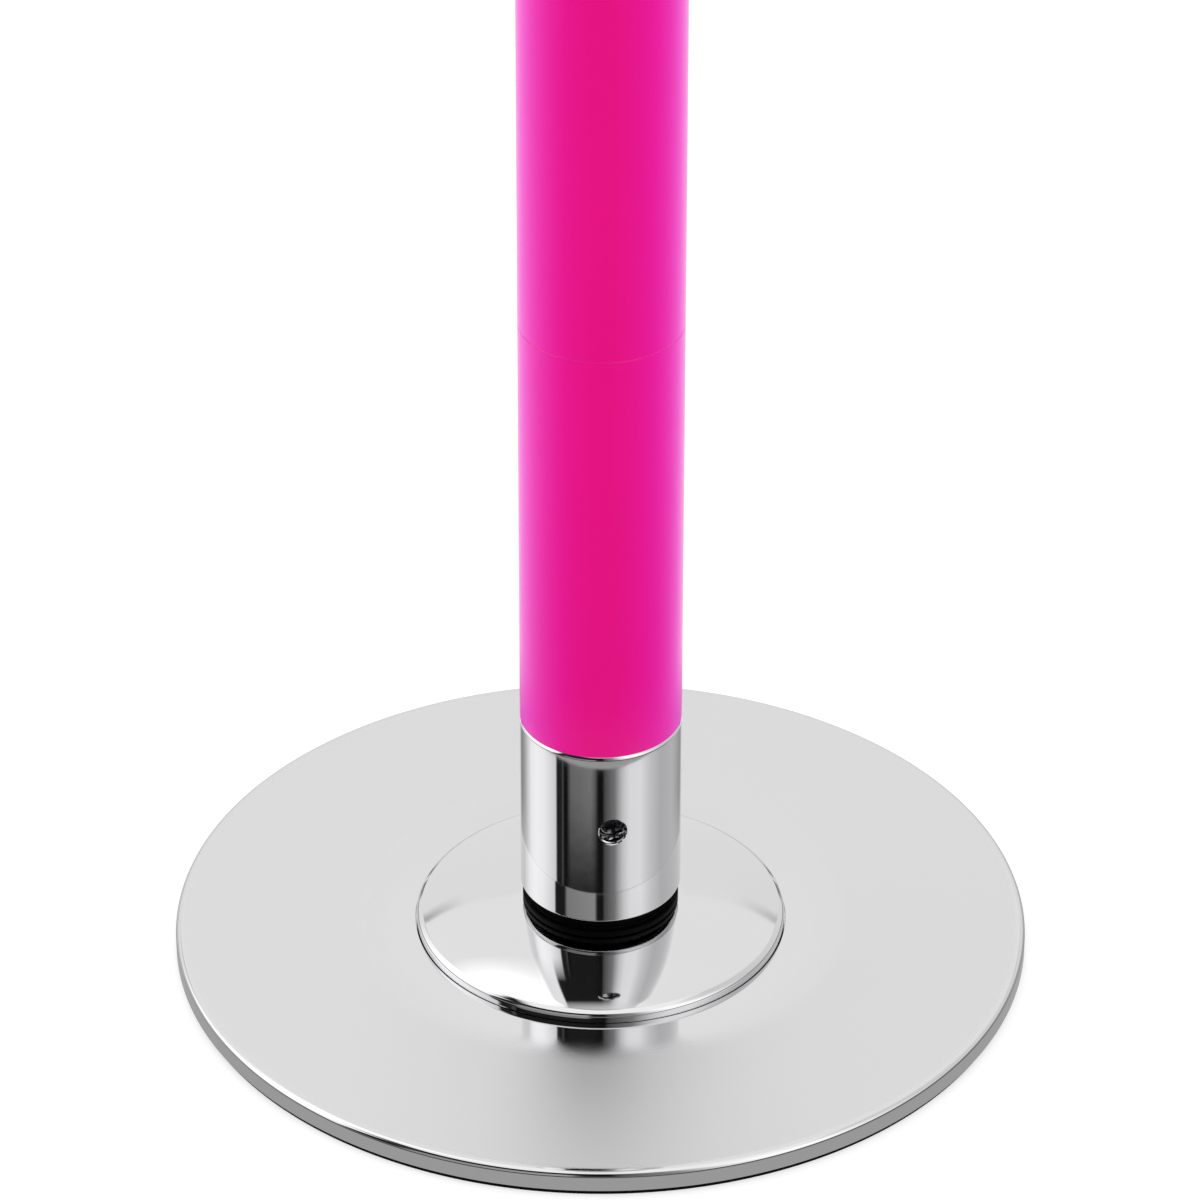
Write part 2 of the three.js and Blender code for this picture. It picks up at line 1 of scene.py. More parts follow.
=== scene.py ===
# Removable spinning dance pole: smooth pieces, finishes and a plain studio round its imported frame.
# Metres, +Z up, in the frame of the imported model: the origin is under the middle of the floor pad.
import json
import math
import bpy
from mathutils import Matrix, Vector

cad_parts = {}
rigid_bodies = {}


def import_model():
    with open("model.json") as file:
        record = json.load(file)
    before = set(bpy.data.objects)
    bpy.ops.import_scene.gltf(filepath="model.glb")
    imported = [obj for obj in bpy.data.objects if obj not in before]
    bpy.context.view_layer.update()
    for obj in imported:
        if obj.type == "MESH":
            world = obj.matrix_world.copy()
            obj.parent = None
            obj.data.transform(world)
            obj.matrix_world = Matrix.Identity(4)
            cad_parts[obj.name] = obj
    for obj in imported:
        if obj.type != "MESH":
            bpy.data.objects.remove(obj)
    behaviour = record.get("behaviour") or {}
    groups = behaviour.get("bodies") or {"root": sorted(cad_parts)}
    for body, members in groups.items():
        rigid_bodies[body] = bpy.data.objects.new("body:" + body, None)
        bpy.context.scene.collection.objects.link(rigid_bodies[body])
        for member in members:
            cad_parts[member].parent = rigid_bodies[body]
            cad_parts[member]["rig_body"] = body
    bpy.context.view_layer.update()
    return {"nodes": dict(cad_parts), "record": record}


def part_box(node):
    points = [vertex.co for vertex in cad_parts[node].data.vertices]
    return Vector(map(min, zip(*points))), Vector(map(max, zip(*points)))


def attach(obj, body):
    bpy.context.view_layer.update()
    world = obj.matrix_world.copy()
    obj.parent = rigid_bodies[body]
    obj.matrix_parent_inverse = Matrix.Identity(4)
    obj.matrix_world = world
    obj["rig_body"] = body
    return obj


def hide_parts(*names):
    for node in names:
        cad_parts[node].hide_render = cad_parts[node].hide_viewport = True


bl_info = {
    "name": "Dance pole",
    "version": (1, 0, 0),
    "blender": (4, 5, 0),
    "location": "View3D > Sidebar > Dance pole",
    "description": "Dresses the packed dance pole with smooth chromed, silicone and rubber pieces",
    "category": "Add Mesh",
}

import bpy
from mathutils import Matrix, Quaternion

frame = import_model()

MM = 0.001
SIDES = 256  # round every large turned piece
SMALL_SIDES = 64  # round screws and their holes
OVERRUN = 2 * MM  # a cutter past the face it cuts
SOFT_ANGLE = math.radians(30)  # edges sharper than this stay crisp
CROWN_RINGS = 24  # down the slope of a raised disc
SCREW_ANGLE = math.radians(-81.3)  # where the visible grub screw points, from +X
FIT = 0.2 * MM  # gap round a part that sits in another
SEAT = 0.3 * MM  # gap between two faces that bear on one another
SEAT_RADIUS = 18.7 * MM  # of the bearings' seats in the collar and the jack head
SPIGOT_RADIUS = 18.6 * MM  # of the collar's neck and the cap, which sit in the tubes
WEB_RADIUS = 14 * MM  # of the bore beyond a bearing's seat
SPINDLE_BORE = 13.2 * MM  # of the discs and seals
JACK_BORE = 12.2 * MM  # of the cap and the nut
PIN_RADIUS = 2.5 * MM  # of the pin through the jack's head
# The sheen painted into the silicone's colour is measured against a normal leaned this far.
LEAN = math.radians(28)  # of the silicone sheen's normal, upwards
SATIN = 0.42  # roughness of the plates' ground flat
MATT_LEVEL = 1.1  # of the studio, for matt surfaces
FLOOR_LIFT = 0.6  # makes the floor white to the camera, and keeps its shadow
# Painted shadow: the floor close round the plate glows only this much in mirror images.
PAINTED_PLATE_SHADOW = 0.45  # of the floor close round the plate, in mirror images
WHITE = (1, 1, 1, 1)


def low(node):
    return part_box(node)[0]


def high(node):
    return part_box(node)[1]


OVERALL = high("ceiling_pad").z
POLE_RADIUS = high("lower_sleeve").x


def length_of(name, description, default, least=0.0):
    """A property that holds a length."""
    return bpy.props.FloatProperty(
        name=name, description=description, default=default, min=least, unit="LENGTH"
    )


def colour_of(name, description, default):
    """A property that holds a colour."""
    return bpy.props.StringProperty(name=name, description=description, default=default)


class DancePoleShapes(bpy.types.PropertyGroup):
    """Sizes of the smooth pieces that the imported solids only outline."""

    plate_edge: length_of("Plate edge", "Radius of the rolled edge on top of each plate", 1.6 * MM)
    disc_crown: length_of(
        "Disc crown",
        "Rise of each raised disc from its rolled rim to the seal",
        3.84 * MM,
    )
    disc_even_share: bpy.props.FloatProperty(
        name="Even slope",
        description="Share of the disc's fall that an even slope gives",
        default=0.57,
        min=0.0,
        max=1.0,
        subtype="FACTOR",
    )
    disc_lip: length_of(
        "Disc lip",
        "Length of the steeper lip that is rolled down round each raised disc",
        1.25 * MM,
    )
    edge_break: length_of(
        "Edge break",
        "Rounding of the turned edges of the chromed pieces",
        0.25 * MM,
    )
    sleeve_edge: length_of(
        "Sleeve edge",
        "Rounding where a silicone sleeve ends at a seam",
        0.2 * MM,
    )
    grub_pitch: length_of(
        "Grub screw pitch",
        "Distance between the threads of a grub screw",
        1.25 * MM,
        0.1 * MM,
    )
    jack_pitch: length_of(
        "Jack screw pitch",
        "Lift of the jack screw for one turn of the nut",
        5 * MM,
        1 * MM,
    )


class DancePoleFinishes(bpy.types.PropertyGroup):
    """Colours of the finishes, as sRGB hex values."""

    chrome: colour_of("Chrome", "Colour of the polished chromium plate", "#D9D9DA")
    silicone: colour_of("Silicone", "Colour of the silicone sleeves", "#E80082")
    silicone_deep: colour_of(
        "Deep silicone",
        "Colour of the silicone where the pigment is thickest",
        "#E2007D",
    )
    # Tint of the silicone's sheen layer, and the violet painted into its colour as a sheen where it
    # turns away.
    silicone_sheen_and_painted_sheen: colour_of(
        "Silicone sheen",
        "Violet sheen that the silicone takes on where it turns away",
        "#EE24C8",
    )
    rubber: colour_of("Rubber", "Colour of the seals and the pads", "#030304")
    oxide: colour_of("Black oxide", "Colour of the blackened screws and circlips", "#77787C")
    steel: colour_of(
        "Turned steel",
        "Colour of the bare steel tubes, spindles and jack screw",
        "#A6A8AB",
    )
    bearing: colour_of("Bearing steel", "Colour of the ground races and balls", "#C4C7CA")


class DancePoleStudio(bpy.types.PropertyGroup):
    """Where the camera stands and how bright the studio is."""

    distance: length_of(
        "Camera distance",
        "Distance of the camera in front of the pole's axis",
        1.45,
    )
    aside: length_of(
        "Camera aside",
        "Distance of the camera to the right of the pole's axis",
        -0.00028,
        -1.0,
    )
    height: length_of("Camera height", "Height of the camera above the floor", 1.0349)
    tilt: bpy.props.FloatProperty(
        name="Camera tilt",
        description="How far the camera looks down",
        default=0.56638,
        subtype="ANGLE",
    )
    roll: bpy.props.FloatProperty(
        name="Camera roll",
        description="Turn of the camera about its own axis",
        default=0.00166,
        subtype="ANGLE",
    )
    lens: bpy.props.FloatProperty(
        name="Focal length",
        description="Focal length in millimetres on a 36 mm sensor",
        default=188.12,
    )
    level: bpy.props.FloatProperty(
        name="Light level",
        description="Strength of the studio's light, beside its white backdrop",
        default=1.0,
    )


def shapes():
    return bpy.context.scene.dance_pole_shapes


def finishes():
    return bpy.context.scene.dance_pole_finishes


def linear(hex_colour):
    """An sRGB hex colour as linear red, green, blue and an alpha of one."""
    shares = [int(hex_colour[place : place + 2], 16) / 255 for place in (1, 3, 5)]
    low_part = [share / 12.92 for share in shares]
    high_part = [((share + 0.055) / 1.055) ** 2.4 for share in shares]
    picked = [a if share <= 0.04045 else b for share, a, b in zip(shares, low_part, high_part)]
    return (*picked, 1.0)


def add_node(tree, kind, inputs=None, **settings):
    """Adds a node. Its inputs are values, or the outputs that feed them, by name or number."""
    made = tree.nodes.new(kind)
    for name, value in settings.items():
        setattr(made, name, value)
    for name, value in (inputs or {}).items():
        if isinstance(value, bpy.types.NodeSocket):
            tree.links.new(value, made.inputs[name])
        else:
            made.inputs[name].default_value = value
    return made


def start_material(name):
    """A new material: its empty node tree and the coordinates of its pieces."""
    material = bpy.data.materials.new(name)
    material.use_nodes = True
    tree = material.node_tree
    tree.nodes.clear()
    place = add_node(tree, "ShaderNodeTexCoord").outputs["Object"]
    return material, tree, place


def end_material(tree, relief, strength, depth, **inputs):
    """Ends a material's tree with its relief, its surface and the output."""
    raised = {"Height": relief.outputs["Fac"], "Strength": strength, "Distance": depth}
    bump = add_node(tree, "ShaderNodeBump", raised)
    named = {name.replace("_", " "): value for name, value in inputs.items()}
    named["Normal"] = bump.outputs["Normal"]
    surface = add_node(tree, "ShaderNodeBsdfPrincipled", named)
    add_node(tree, "ShaderNodeOutputMaterial", {"Surface": surface.outputs["BSDF"]})


def polished_chromium(name, colour, satin=0.0):
    """Bright chromium plate on polished steel: a mirror with a faint haze from the polishing wheel.

    With satin, the flat of a plate beyond its disc is ground duller, up to its rolled edge. Only
    the eye sees it so: the collar still mirrors it bright, as in the photograph."""
    material, tree, place = start_material(name)
    haze = add_node(
        tree,
        "ShaderNodeTexNoise",
        {"Vector": place, "Scale": 1 / (40 * MM), "Detail": 3.0},
    )
    polish = add_node(
        tree,
        "ShaderNodeMapRange",
        {
            "Value": haze.outputs["Fac"],
            "From Min": 0.3,
            "From Max": 0.7,
            "To Min": 0.025,
            "To Max": 0.06,
        },
    )
    roughness = polish.outputs["Result"]
    if satin:
        parts = add_node(tree, "ShaderNodeSeparateXYZ", {0: place})
        across = add_node(
            tree,
            "ShaderNodeCombineXYZ",
            {0: parts.outputs["X"], 1: parts.outputs["Y"]},
        )
        out = add_node(tree, "ShaderNodeVectorMath", {0: across.outputs[0]}, operation="LENGTH")
        radius = out.outputs["Value"]
        # The ground flat fades in from the disc's edge, and stops short of the rolled edge.
        inner = add_node(
            tree,
            "ShaderNodeMapRange",
            {"Value": radius, "From Min": 58 * MM, "From Max": 72 * MM},
            interpolation_type="SMOOTHSTEP",
        )
        outer = add_node(
            tree,
            "ShaderNodeMapRange",
            {"Value": radius, "From Min": 118 * MM, "From Max": 117 * MM},
        )
        flat = add_node(
            tree,
            "ShaderNodeMath",
            {0: inner.outputs["Result"], 1: outer.outputs["Result"]},
            operation="MULTIPLY",
        )
        seen = add_node(tree, "ShaderNodeLightPath").outputs["Is Camera Ray"]
        share = add_node(
            tree,
            "ShaderNodeMath",
            {0: flat.outputs[0], 1: seen},
            operation="MULTIPLY",
        )
        roughness = add_node(
            tree,
            "ShaderNodeMix",
            {0: share.outputs[0], 2: roughness, 3: satin},
            data_type="FLOAT",
        ).outputs[0]
    # Ripples of a polished surface are a few millimetres long and far under a micrometre deep.
    ripple = add_node(
        tree,
        "ShaderNodeTexNoise",
        {"Vector": place, "Scale": 1 / (7 * MM), "Detail": 1.0},
    )
    end_material(
        tree,
        ripple,
        0.25,
        0.01 * MM,
        Base_Color=linear(colour),
        Metallic=1.0,
        Roughness=roughness,
    )
    return material


def moulded_silicone(name, colour, deep, sheen):
    """Glossy pigmented silicone: even, saturated colour, with a violet sheen painted into the colour
    where it turns away, over a sheen layer of the same tint.
    """
    material, tree, place = start_material(name)
    cloud = add_node(
        tree,
        "ShaderNodeTexNoise",
        {"Vector": place, "Scale": 1 / (60 * MM), "Detail": 3.0},
    )
    pigment = add_node(
        tree,
        "ShaderNodeMix",
        {0: cloud.outputs["Fac"], 6: linear(colour), 7: linear(deep)},
        data_type="RGBA",
    )
    # The normal leans up, so that the painted sheen stays at the pole's sides seen level or from
    # above.
    normal = add_node(tree, "ShaderNodeNewGeometry").outputs["Normal"]
    along, up = math.cos(LEAN), math.sin(LEAN)
    leaning = add_node(
        tree,
        "ShaderNodeVectorMath",
        {0: normal, 1: (along, along, along), 2: (0.0, 0.0, up)},
        operation="MULTIPLY_ADD",
    )
    turned_away = add_node(
        tree,
        "ShaderNodeLayerWeight",
        {"Blend": 0.5, "Normal": leaning.outputs["Vector"]},
    )
    # Painted sheen: the base colour is mixed towards violet where the surface turns away from the
    # eye.
    painted_sheen_share = add_node(
        tree,
        "ShaderNodeMapRange",
        {"Value": turned_away.outputs["Facing"], "From Min": 0.0, "From Max": 0.52},
    )
    colour_with_painted_sheen = add_node(
        tree,
        "ShaderNodeMix",
        {0: painted_sheen_share.outputs["Result"], 6: pigment.outputs[2], 7: linear(sheen)},
        data_type="RGBA",
    )
    # The mould's grain of about 0.1 mm is drawn at 0.5 mm so that it shows.
    grain = add_node(
        tree,
        "ShaderNodeTexNoise",
        {"Vector": place, "Scale": 1 / (0.5 * MM), "Detail": 2.0},
    )
    end_material(
        tree,
        grain,
        0.1,
        0.01 * MM,
        Base_Color=colour_with_painted_sheen.outputs[2],
        Roughness=0.16,
        IOR=1.41,
        Sheen_Weight=0.4,
        Sheen_Roughness=0.5,
        Sheen_Tint=linear(sheen),
    )
    return material


def moulded_rubber(name, colour):
    """Black nitrile rubber: dark, with a dull shine that breaks up on its grain."""
    material, tree, place = start_material(name)
    grain = add_node(
        tree,
        "ShaderNodeTexNoise",
        {"Vector": place, "Scale": 1 / (0.4 * MM), "Detail": 3.0},
    )
    roughness = add_node(
        tree,
        "ShaderNodeMapRange",
        {"Value": grain.outputs["Fac"], "To Min": 0.45, "To Max": 0.6},
    )
    end_material(
        tree,
        grain,
        0.3,
        0.02 * MM,
        Base_Color=linear(colour),
        Roughness=roughness.outputs["Result"],
        Specular_IOR_Level=0.06,
    )
    return material


def blackened_steel(name, colour):
    """Black oxide on machined steel: dark metal with an oily, uneven shine."""
    material, tree, place = start_material(name)
    patches = add_node(
        tree,
        "ShaderNodeTexNoise",
        {"Vector": place, "Scale": 1 / (1.5 * MM), "Detail": 4.0},
    )
    roughness = add_node(
        tree,
        "ShaderNodeMapRange",
        {"Value": patches.outputs["Fac"], "To Min": 0.08, "To Max": 0.18},
    )
    end_material(
        tree,
        patches,
        0.1,
        0.02 * MM,
        Base_Color=linear(colour),
        Metallic=1.0,
        Roughness=roughness.outputs["Result"],
    )
    return material


def turned_steel(name, colour, feed):
    """Bare steel off the lathe: rings at the tool's feed, and a satin shine across them."""
    material, tree, place = start_material(name)
    # The real feed is about 0.1 mm, which is drawn coarser so that it shows.
    rings = add_node(
        tree,
        "ShaderNodeTexWave",
        {"Vector": place, "Scale": 2 * math.pi / (20 * feed), "Distortion": 0.4, "Detail": 1.0},
        wave_type="BANDS",
        bands_direction="Z",
    )
    stain = add_node(
        tree,
        "ShaderNodeTexNoise",
        {"Vector": place, "Scale": 1 / (12 * MM), "Detail": 4.0},
    )
    roughness = add_node(
        tree,
        "ShaderNodeMapRange",
        {"Value": stain.outputs["Fac"], "To Min": 0.22, "To Max": 0.38},
    )
    end_material(
        tree,
        rings,
        0.3,
        0.01 * MM,
        Base_Color=linear(colour),
        Metallic=1.0,
        Roughness=roughness.outputs["Result"],
    )
    return material


def finish_named(slot):
    """The finish of a slot of the record, made the first time it is asked for."""
    colours = finishes()
    makers = {
        "chrome": lambda: polished_chromium("polished_chromium", colours.chrome),
        "satin_chrome": lambda: polished_chromium("satin_ground_chromium", colours.chrome, SATIN),
        "silicone": lambda: moulded_silicone(
            "moulded_silicone", colours.silicone, colours.silicone_deep, colours.silicone_sheen_and_painted_sheen
        ),
        "black_rubber": lambda: moulded_rubber("moulded_rubber", colours.rubber),
        "black_oxide": lambda: blackened_steel("blackened_steel", colours.oxide),
        "steel": lambda: turned_steel("turned_steel", colours.steel, 0.4 * MM),
        "bearing_steel": lambda: turned_steel("ground_bearing_steel", colours.bearing, 0.2 * MM),
    }
    made = bpy.context.scene.get("finish_" + slot)
    if made is None:
        made = makers[slot]()
        bpy.context.scene["finish_" + slot] = made
    return made


def turn(name, outline, sides=SIDES):
    """A body of revolution: a ring is extruded and resized from point to point of an outline.

    The outline is a list of radius and level. Its ends are joined when they enclose a bore, and
    filled when they lie on the axis."""
    bpy.ops.object.select_all(action="DESELECT")
    solid = outline[0][0] == 0
    points = outline[1:-1] if solid else outline
    radius, level = points[0]
    bpy.ops.mesh.primitive_circle_add(vertices=sides, radius=radius, location=(0, 0, level))
    piece = bpy.context.object
    piece.name = piece.data.name = name
    bpy.ops.object.transform_apply()
    bpy.ops.object.mode_set(mode="EDIT")
    bpy.ops.mesh.select_mode(type="EDGE")
    bpy.ops.mesh.select_all(action="SELECT")
    for next_radius, next_level in points[1:]:
        rise = (0, 0, next_level - level)
        bpy.ops.mesh.extrude_edges_move(TRANSFORM_OT_translate={"value": rise})
        share = next_radius / radius
        bpy.ops.transform.resize(value=(share, share, 1), center_override=(0, 0, 0))
        radius, level = next_radius, next_level
    bpy.ops.mesh.select_all(action="DESELECT")
    bpy.ops.mesh.select_non_manifold()
    if solid:
        bpy.ops.mesh.fill_holes(sides=0)
    else:
        bpy.ops.mesh.bridge_edge_loops()
    bpy.ops.mesh.select_all(action="SELECT")
    bpy.ops.mesh.normals_make_consistent(inside=False)
    bpy.ops.object.mode_set(mode="OBJECT")
    return piece


def pick(piece):
    """Makes a piece the only selected one and the active one."""
    bpy.ops.object.select_all(action="DESELECT")
    piece.select_set(True)
    bpy.context.view_layer.objects.active = piece


def break_edges(piece, width, segments=3):
    """Rounds the sharp edges of a piece."""
    pick(piece)
    bpy.ops.object.modifier_add(type="BEVEL")
    bevel = piece.modifiers[-1]
    bevel.width = width
    bevel.segments = segments
    bevel.limit_method = "ANGLE"
    bevel.angle_limit = SOFT_ANGLE
    bpy.ops.object.modifier_apply(modifier=bevel.name)


def combine(piece, tools, operation, solver="EXACT"):
    """Cuts a piece by each of the tools, or keeps what they share, and throws the tools away.

    The manifold solver keeps a thread closed where the exact one leaves gaps."""
    for tool in tools:
        pick(piece)
        bpy.ops.object.modifier_add(type="BOOLEAN")
        boolean = piece.modifiers[-1]
        boolean.operation = operation
        boolean.solver = solver
        boolean.object = tool
        bpy.ops.object.modifier_apply(modifier=boolean.name)
        pick(tool)
        bpy.ops.object.delete()


def aim(piece, angle, level):
    """Turns a piece that lies along Z to point outwards from the axis at an angle and level."""
    pick(piece)
    place = Matrix.Translation((0, 0, level)) @ Matrix.Rotation(angle, 4, "Z")
    piece.matrix_world = place @ Matrix.Rotation(math.pi / 2, 4, "Y")
    bpy.ops.object.transform_apply()


def turn_over(piece):
    """Turns a piece of the floor end over, to its place at the ceiling."""
    pick(piece)
    piece.matrix_world = Matrix.Translation((0, 0, OVERALL)) @ Matrix.Rotation(math.pi, 4, "X")
    bpy.ops.object.transform_apply()


def finish_piece(piece, node, slot, finish=None):
    """Shades a piece, gives it its finish, and puts it in the place of its node."""
    pick(piece)
    bpy.ops.object.shade_smooth_by_angle(angle=SOFT_ANGLE)
    bpy.ops.object.modifier_add(type="WEIGHTED_NORMAL")
    flat = piece.modifiers[-1]
    flat.keep_sharp = True
    bpy.ops.object.modifier_apply(modifier=flat.name)
    piece.data.materials.clear()
    piece.data.materials.append(finish_named(finish or slot))
    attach(piece, frame["nodes"][node]["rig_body"])
    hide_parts(node)


def rod(name, radius, bottom, top, sides=SMALL_SIDES):
    """A plain bar along Z."""
    return turn(name, [(0, bottom), (radius, bottom), (radius, top), (0, top)], sides)


def hexagon(name, across_flats, bottom, top):
    """A bar of six flats along Z, given across its flats."""
    return rod(name, across_flats / 2 / math.cos(math.pi / 6), bottom, top, 6)


def thread(name, crest, root, pitch, bottom, top):
    """A threaded bar along Z: a tooth is wound up by a screw, then cut square at both ends."""
    bpy.ops.object.select_all(action="DESELECT")
    bpy.ops.mesh.primitive_plane_add(size=MM, location=(root, 0, bottom - 2 * pitch))
    piece = bpy.context.object
    piece.name = piece.data.name = name
    bpy.ops.object.transform_apply()
    bpy.ops.object.mode_set(mode="EDIT")
    bpy.ops.mesh.select_mode(type="VERT")
    bpy.ops.mesh.select_all(action="SELECT")
    bpy.ops.mesh.merge(type="CENTER")
    out, flank, land = crest - root, 0.35 * pitch, 0.15 * pitch
    for across, up in ((out, flank), (0, land), (-out, flank), (0, land)):
        bpy.ops.mesh.extrude_vertices_move(TRANSFORM_OT_translate={"value": (across, 0, up)})
    bpy.ops.object.mode_set(mode="OBJECT")
    bpy.ops.object.modifier_add(type="SCREW")
    winding = piece.modifiers[-1]
    winding.screw_offset = pitch
    winding.iterations = math.ceil((top - bottom) / pitch) + 4  # two stand out at each end
    winding.steps = winding.render_steps = SMALL_SIDES
    winding.use_merge_vertices = True
    bpy.ops.object.modifier_apply(modifier=winding.name)
    bpy.ops.object.mode_set(mode="EDIT")
    bpy.ops.mesh.select_all(action="SELECT")
    bpy.ops.mesh.remove_doubles(threshold=pitch / 100)
    for level, way in ((bottom, -1), (top, 1)):
        bpy.ops.mesh.select_all(action="SELECT")
        bpy.ops.mesh.bisect(
            plane_co=(0, 0, level),
            plane_no=(0, 0, way),
            use_fill=True,
            clear_outer=True,
            threshold=pitch / 1000,
        )
    bpy.ops.mesh.select_all(action="SELECT")
    bpy.ops.mesh.normals_make_consistent(inside=False)
    bpy.ops.object.mode_set(mode="OBJECT")
    return piece


class DANCE_POLE_OT_pads(bpy.types.Operator):
    """Add the thin rubber pads of the two plates, on the floor and the ceiling"""

    bl_idname = "dance_pole.pads"
    bl_label = "Pads"

    def execute(self, context):
        radius, top = high("base_pad").x, high("base_pad").z
        for node in ("base_pad", "ceiling_pad"):
            outline = [(0, 0), (radius, 0), (radius, top), (0, top)]
            piece = turn("rubber_" + node, outline)
            break_edges(piece, 0.3 * MM, 2)
            if node == "ceiling_pad":
                turn_over(piece)
            finish_piece(piece, node, "black_rubber")
        return {"FINISHED"}


class DANCE_POLE_OT_plates(bpy.types.Operator):
    """Add the chromed plates with their rolled edge and the pocket for the disc"""

    bl_idname = "dance_pole.plates"
    bl_label = "Plates"

    def execute(self, context):
        edge = shapes().plate_edge
        bottom, top = low("base_plate").z, high("base_plate").z
        radius = high("base_plate").x
        pocket_radius = high("base_disc").x + FIT
        pocket_floor = low("base_disc").z - SEAT
        foot, rim = 0.4 * MM, 0.15 * MM
        rolled = [
            (radius - edge + edge * math.cos(angle), top - edge + edge * math.sin(angle))
            for angle in (math.radians(step * 9) for step in range(11))
        ]
        outline = [
            (0, bottom),
            (radius - foot, bottom),
            (radius, bottom + foot),
            *rolled,
            (pocket_radius + rim, top),
            (pocket_radius, top - rim),
            (pocket_radius, pocket_floor),
            (0, pocket_floor),
        ]
        for node in ("base_plate", "ceiling_plate"):
            piece = turn("chromed_" + node, outline)
            tools = []
            for screw in range(1, 4):
                name = f"base_disc_screw_{screw}"
                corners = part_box(name)
                middle = (corners[0] + corners[1]) / 2
                tool = turn("countersink", self.countersink(corners), SMALL_SIDES)
                tool.location = (middle.x, middle.y, 0)
                pick(tool)
                bpy.ops.object.transform_apply()
                tools.append(tool)
            combine(piece, tools, "DIFFERENCE")
            if node == "ceiling_plate":
                turn_over(piece)
            finish_piece(piece, node, "chrome", "satin_chrome")
        return {"FINISHED"}

    def countersink(self, corners):
        """Outline of the countersunk hole round a screw of the disc."""
        head_radius = (corners[1].x - corners[0].x) / 2 + FIT
        shank_radius = 2.7 * MM
        seat = corners[0].z
        throat = seat + (head_radius - shank_radius)
        return [
            (0, seat - OVERRUN),
            (head_radius, seat - OVERRUN),
            (head_radius, seat),
            (shank_radius, throat),
            (shank_radius, throat + 2 * OVERRUN),
            (0, throat + 2 * OVERRUN),
        ]


class DANCE_POLE_OT_discs(bpy.types.Operator):
    """Add the raised, slightly crowned chromed discs in the middle of the plates"""

    bl_idname = "dance_pole.discs"
    bl_label = "Discs"

    def execute(self, context):
        crown, lip, even = shapes().disc_crown, shapes().disc_lip, shapes().disc_even_share
        bottom, top = low("base_disc").z, high("base_disc").z
        radius = high("base_disc").x
        edge = radius - 0.5 * MM - lip
        recess_radius, recess_top = high("base_spindle").x + FIT, bottom + 3 * MM + SEAT
        shares = [1 - ring / CROWN_RINGS for ring in range(CROWN_RINGS + 1)]
        slope = [
            (
                POLE_RADIUS + (edge - POLE_RADIUS) * share,
                top - crown * (even * share + (1 - even) * share**3),
            )
            for share in shares
        ]
        # The slope ends at one angle, rolls over the brow to another, and over the nose to upright.
        leave = math.atan(crown * (3 - 2 * even) / (edge - POLE_RADIUS))
        fall, brow, nose = math.radians(34), 1.4 * MM, 1.6 * MM
        rim = self.roll((edge, top - crown), leave, fall, brow)
        across, level = rim[-1]
        reach = radius - nose * (1 - math.sin(fall))
        level -= (reach - across) * math.tan(fall)
        rim += self.roll((reach, level), fall, math.pi / 2, nose)
        outline = [
            (recess_radius, bottom),
            (radius, bottom),
            *reversed(rim),
            *slope,
            (SPINDLE_BORE, top),
            (SPINDLE_BORE, recess_top),
            (recess_radius, recess_top),
        ]
        for node in ("base_disc", "ceiling_disc"):
            piece = turn("chromed_" + node, outline)
            if node == "ceiling_disc":
                turn_over(piece)
            finish_piece(piece, node, "chrome")
        return {"FINISHED"}

    def roll(self, start, leave, arrive, radius, steps=6):
        """Points of an arc that bends a downward slope from one angle to another."""
        points = []
        for step in range(steps + 1):
            angle = leave + (arrive - leave) * step / steps
            across = start[0] + radius * (math.sin(angle) - math.sin(leave))
            points.append((across, start[1] - radius * (math.cos(leave) - math.cos(angle))))
        return points


class DANCE_POLE_OT_seals(bpy.types.Operator):
    """Add the black stepped seals between the discs and the turning parts"""

    bl_idname = "dance_pole.seals"
    bl_label = "Seals"

    def execute(self, context):
        bottom, lip_top = low("base_seal").z, high("base_seal").z
        flange = high("base_seal").x
        step, hub_top = bottom + 1.6 * MM, lip_top - 1.8 * MM
        hub, lip = 20 * MM, 17.9 * MM
        outline = [
            (SPINDLE_BORE, bottom),
            (flange, bottom),
            (flange, step),
            (hub, step),
            (hub, hub_top),
            (lip, hub_top),
            (lip, lip_top),
            (SPINDLE_BORE, lip_top),
        ]
        for node in ("base_seal", "ceiling_seal"):
            piece = turn("rubber_" + node, outline)
            break_edges(piece, 0.3 * MM)
            if node == "ceiling_seal":
                turn_over(piece)
            finish_piece(piece, node, "black_rubber")
        return {"FINISHED"}


